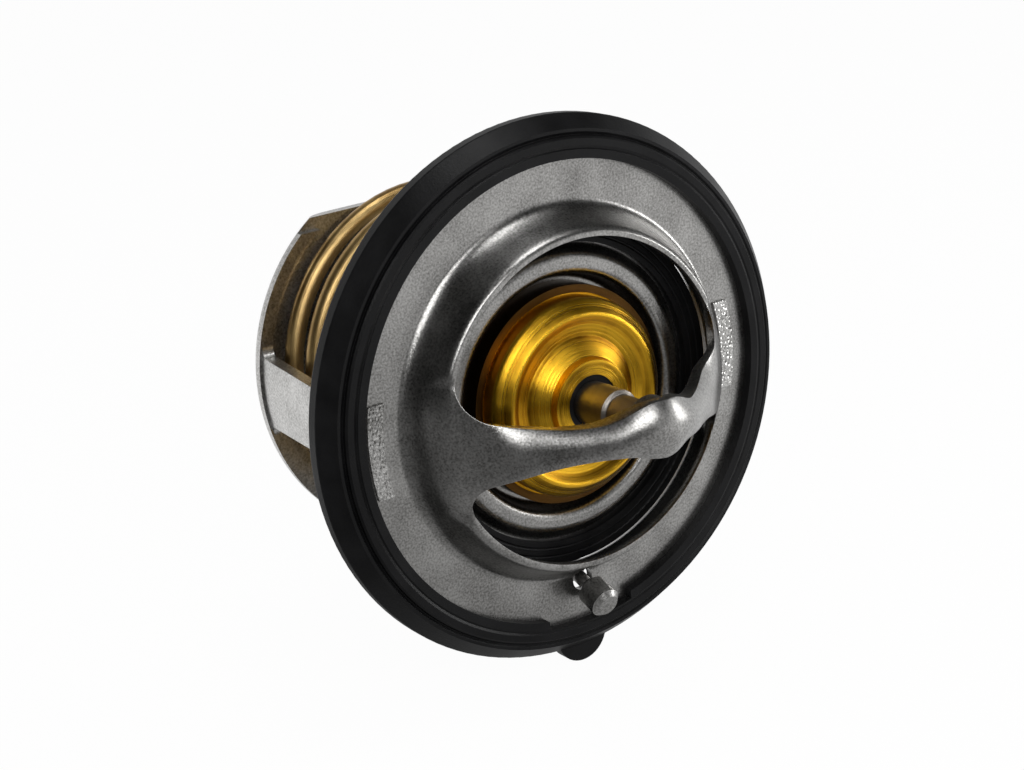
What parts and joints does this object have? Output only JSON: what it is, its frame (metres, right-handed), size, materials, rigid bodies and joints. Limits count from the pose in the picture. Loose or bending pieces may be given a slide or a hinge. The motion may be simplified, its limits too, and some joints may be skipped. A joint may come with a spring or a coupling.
{
  "type": "engine thermostat",
  "caption": "Engine coolant thermostat: drawn steel flange and bridge with rubber edge gasket, wax element pushing a sprung valve plate, rear frame and jiggle pin.",
  "frame": {"origin": "on the valve axis, in the plane of the front face of the flange", "axes": "+Y along the valve axis towards the rear frame, so the front faces -Y; X along the bridge and the two legs; +Z away from the jiggle pin and the gasket ear"},
  "size_m": [0.06, 0.0554, 0.062],
  "materials": {
    "stainless": "satin drawn sheet",
    "rubber": "matte moulded",
    "pin_steel": "ground",
    "brass": "turned",
    "copper": "drawn, slightly dull",
    "spring_steel": "heat tinted wire",
    "hard_polymer": "plain",
    "wax": "plain"
  },
  "bodies": {
    "housing_side": {"flange_bridge": "stainless", "gasket": "rubber", "rear_frame": "stainless", "piston_pin": "pin_steel", "main_spring": "spring_steel"},
    "valve": {"element_guide": "brass", "piston_seal": "rubber", "element_cup": "copper", "backup_washer": "hard_polymer", "rubber_sleeve": "rubber", "wax_charge": "wax", "valve_plate": "stainless", "valve_seal": "rubber"},
    "jiggle": {"jiggle_pin": "pin_steel", "jiggle_weight": "pin_steel"}
  },
  "joints": [
    {"name": "valve_slide", "type": "slide", "parent": "housing_side", "child": "valve", "axis": [0, 1, 0], "range_m": [0, 0.009], "stiffness_N_per_m": 2000, "deforming": ["main_spring"]},
    {"name": "jiggle_slide", "type": "slide", "parent": "housing_side", "child": "jiggle", "axis": [0, -0.9336, -0.3584], "range_m": [-0.0005, 0]}
  ]
}
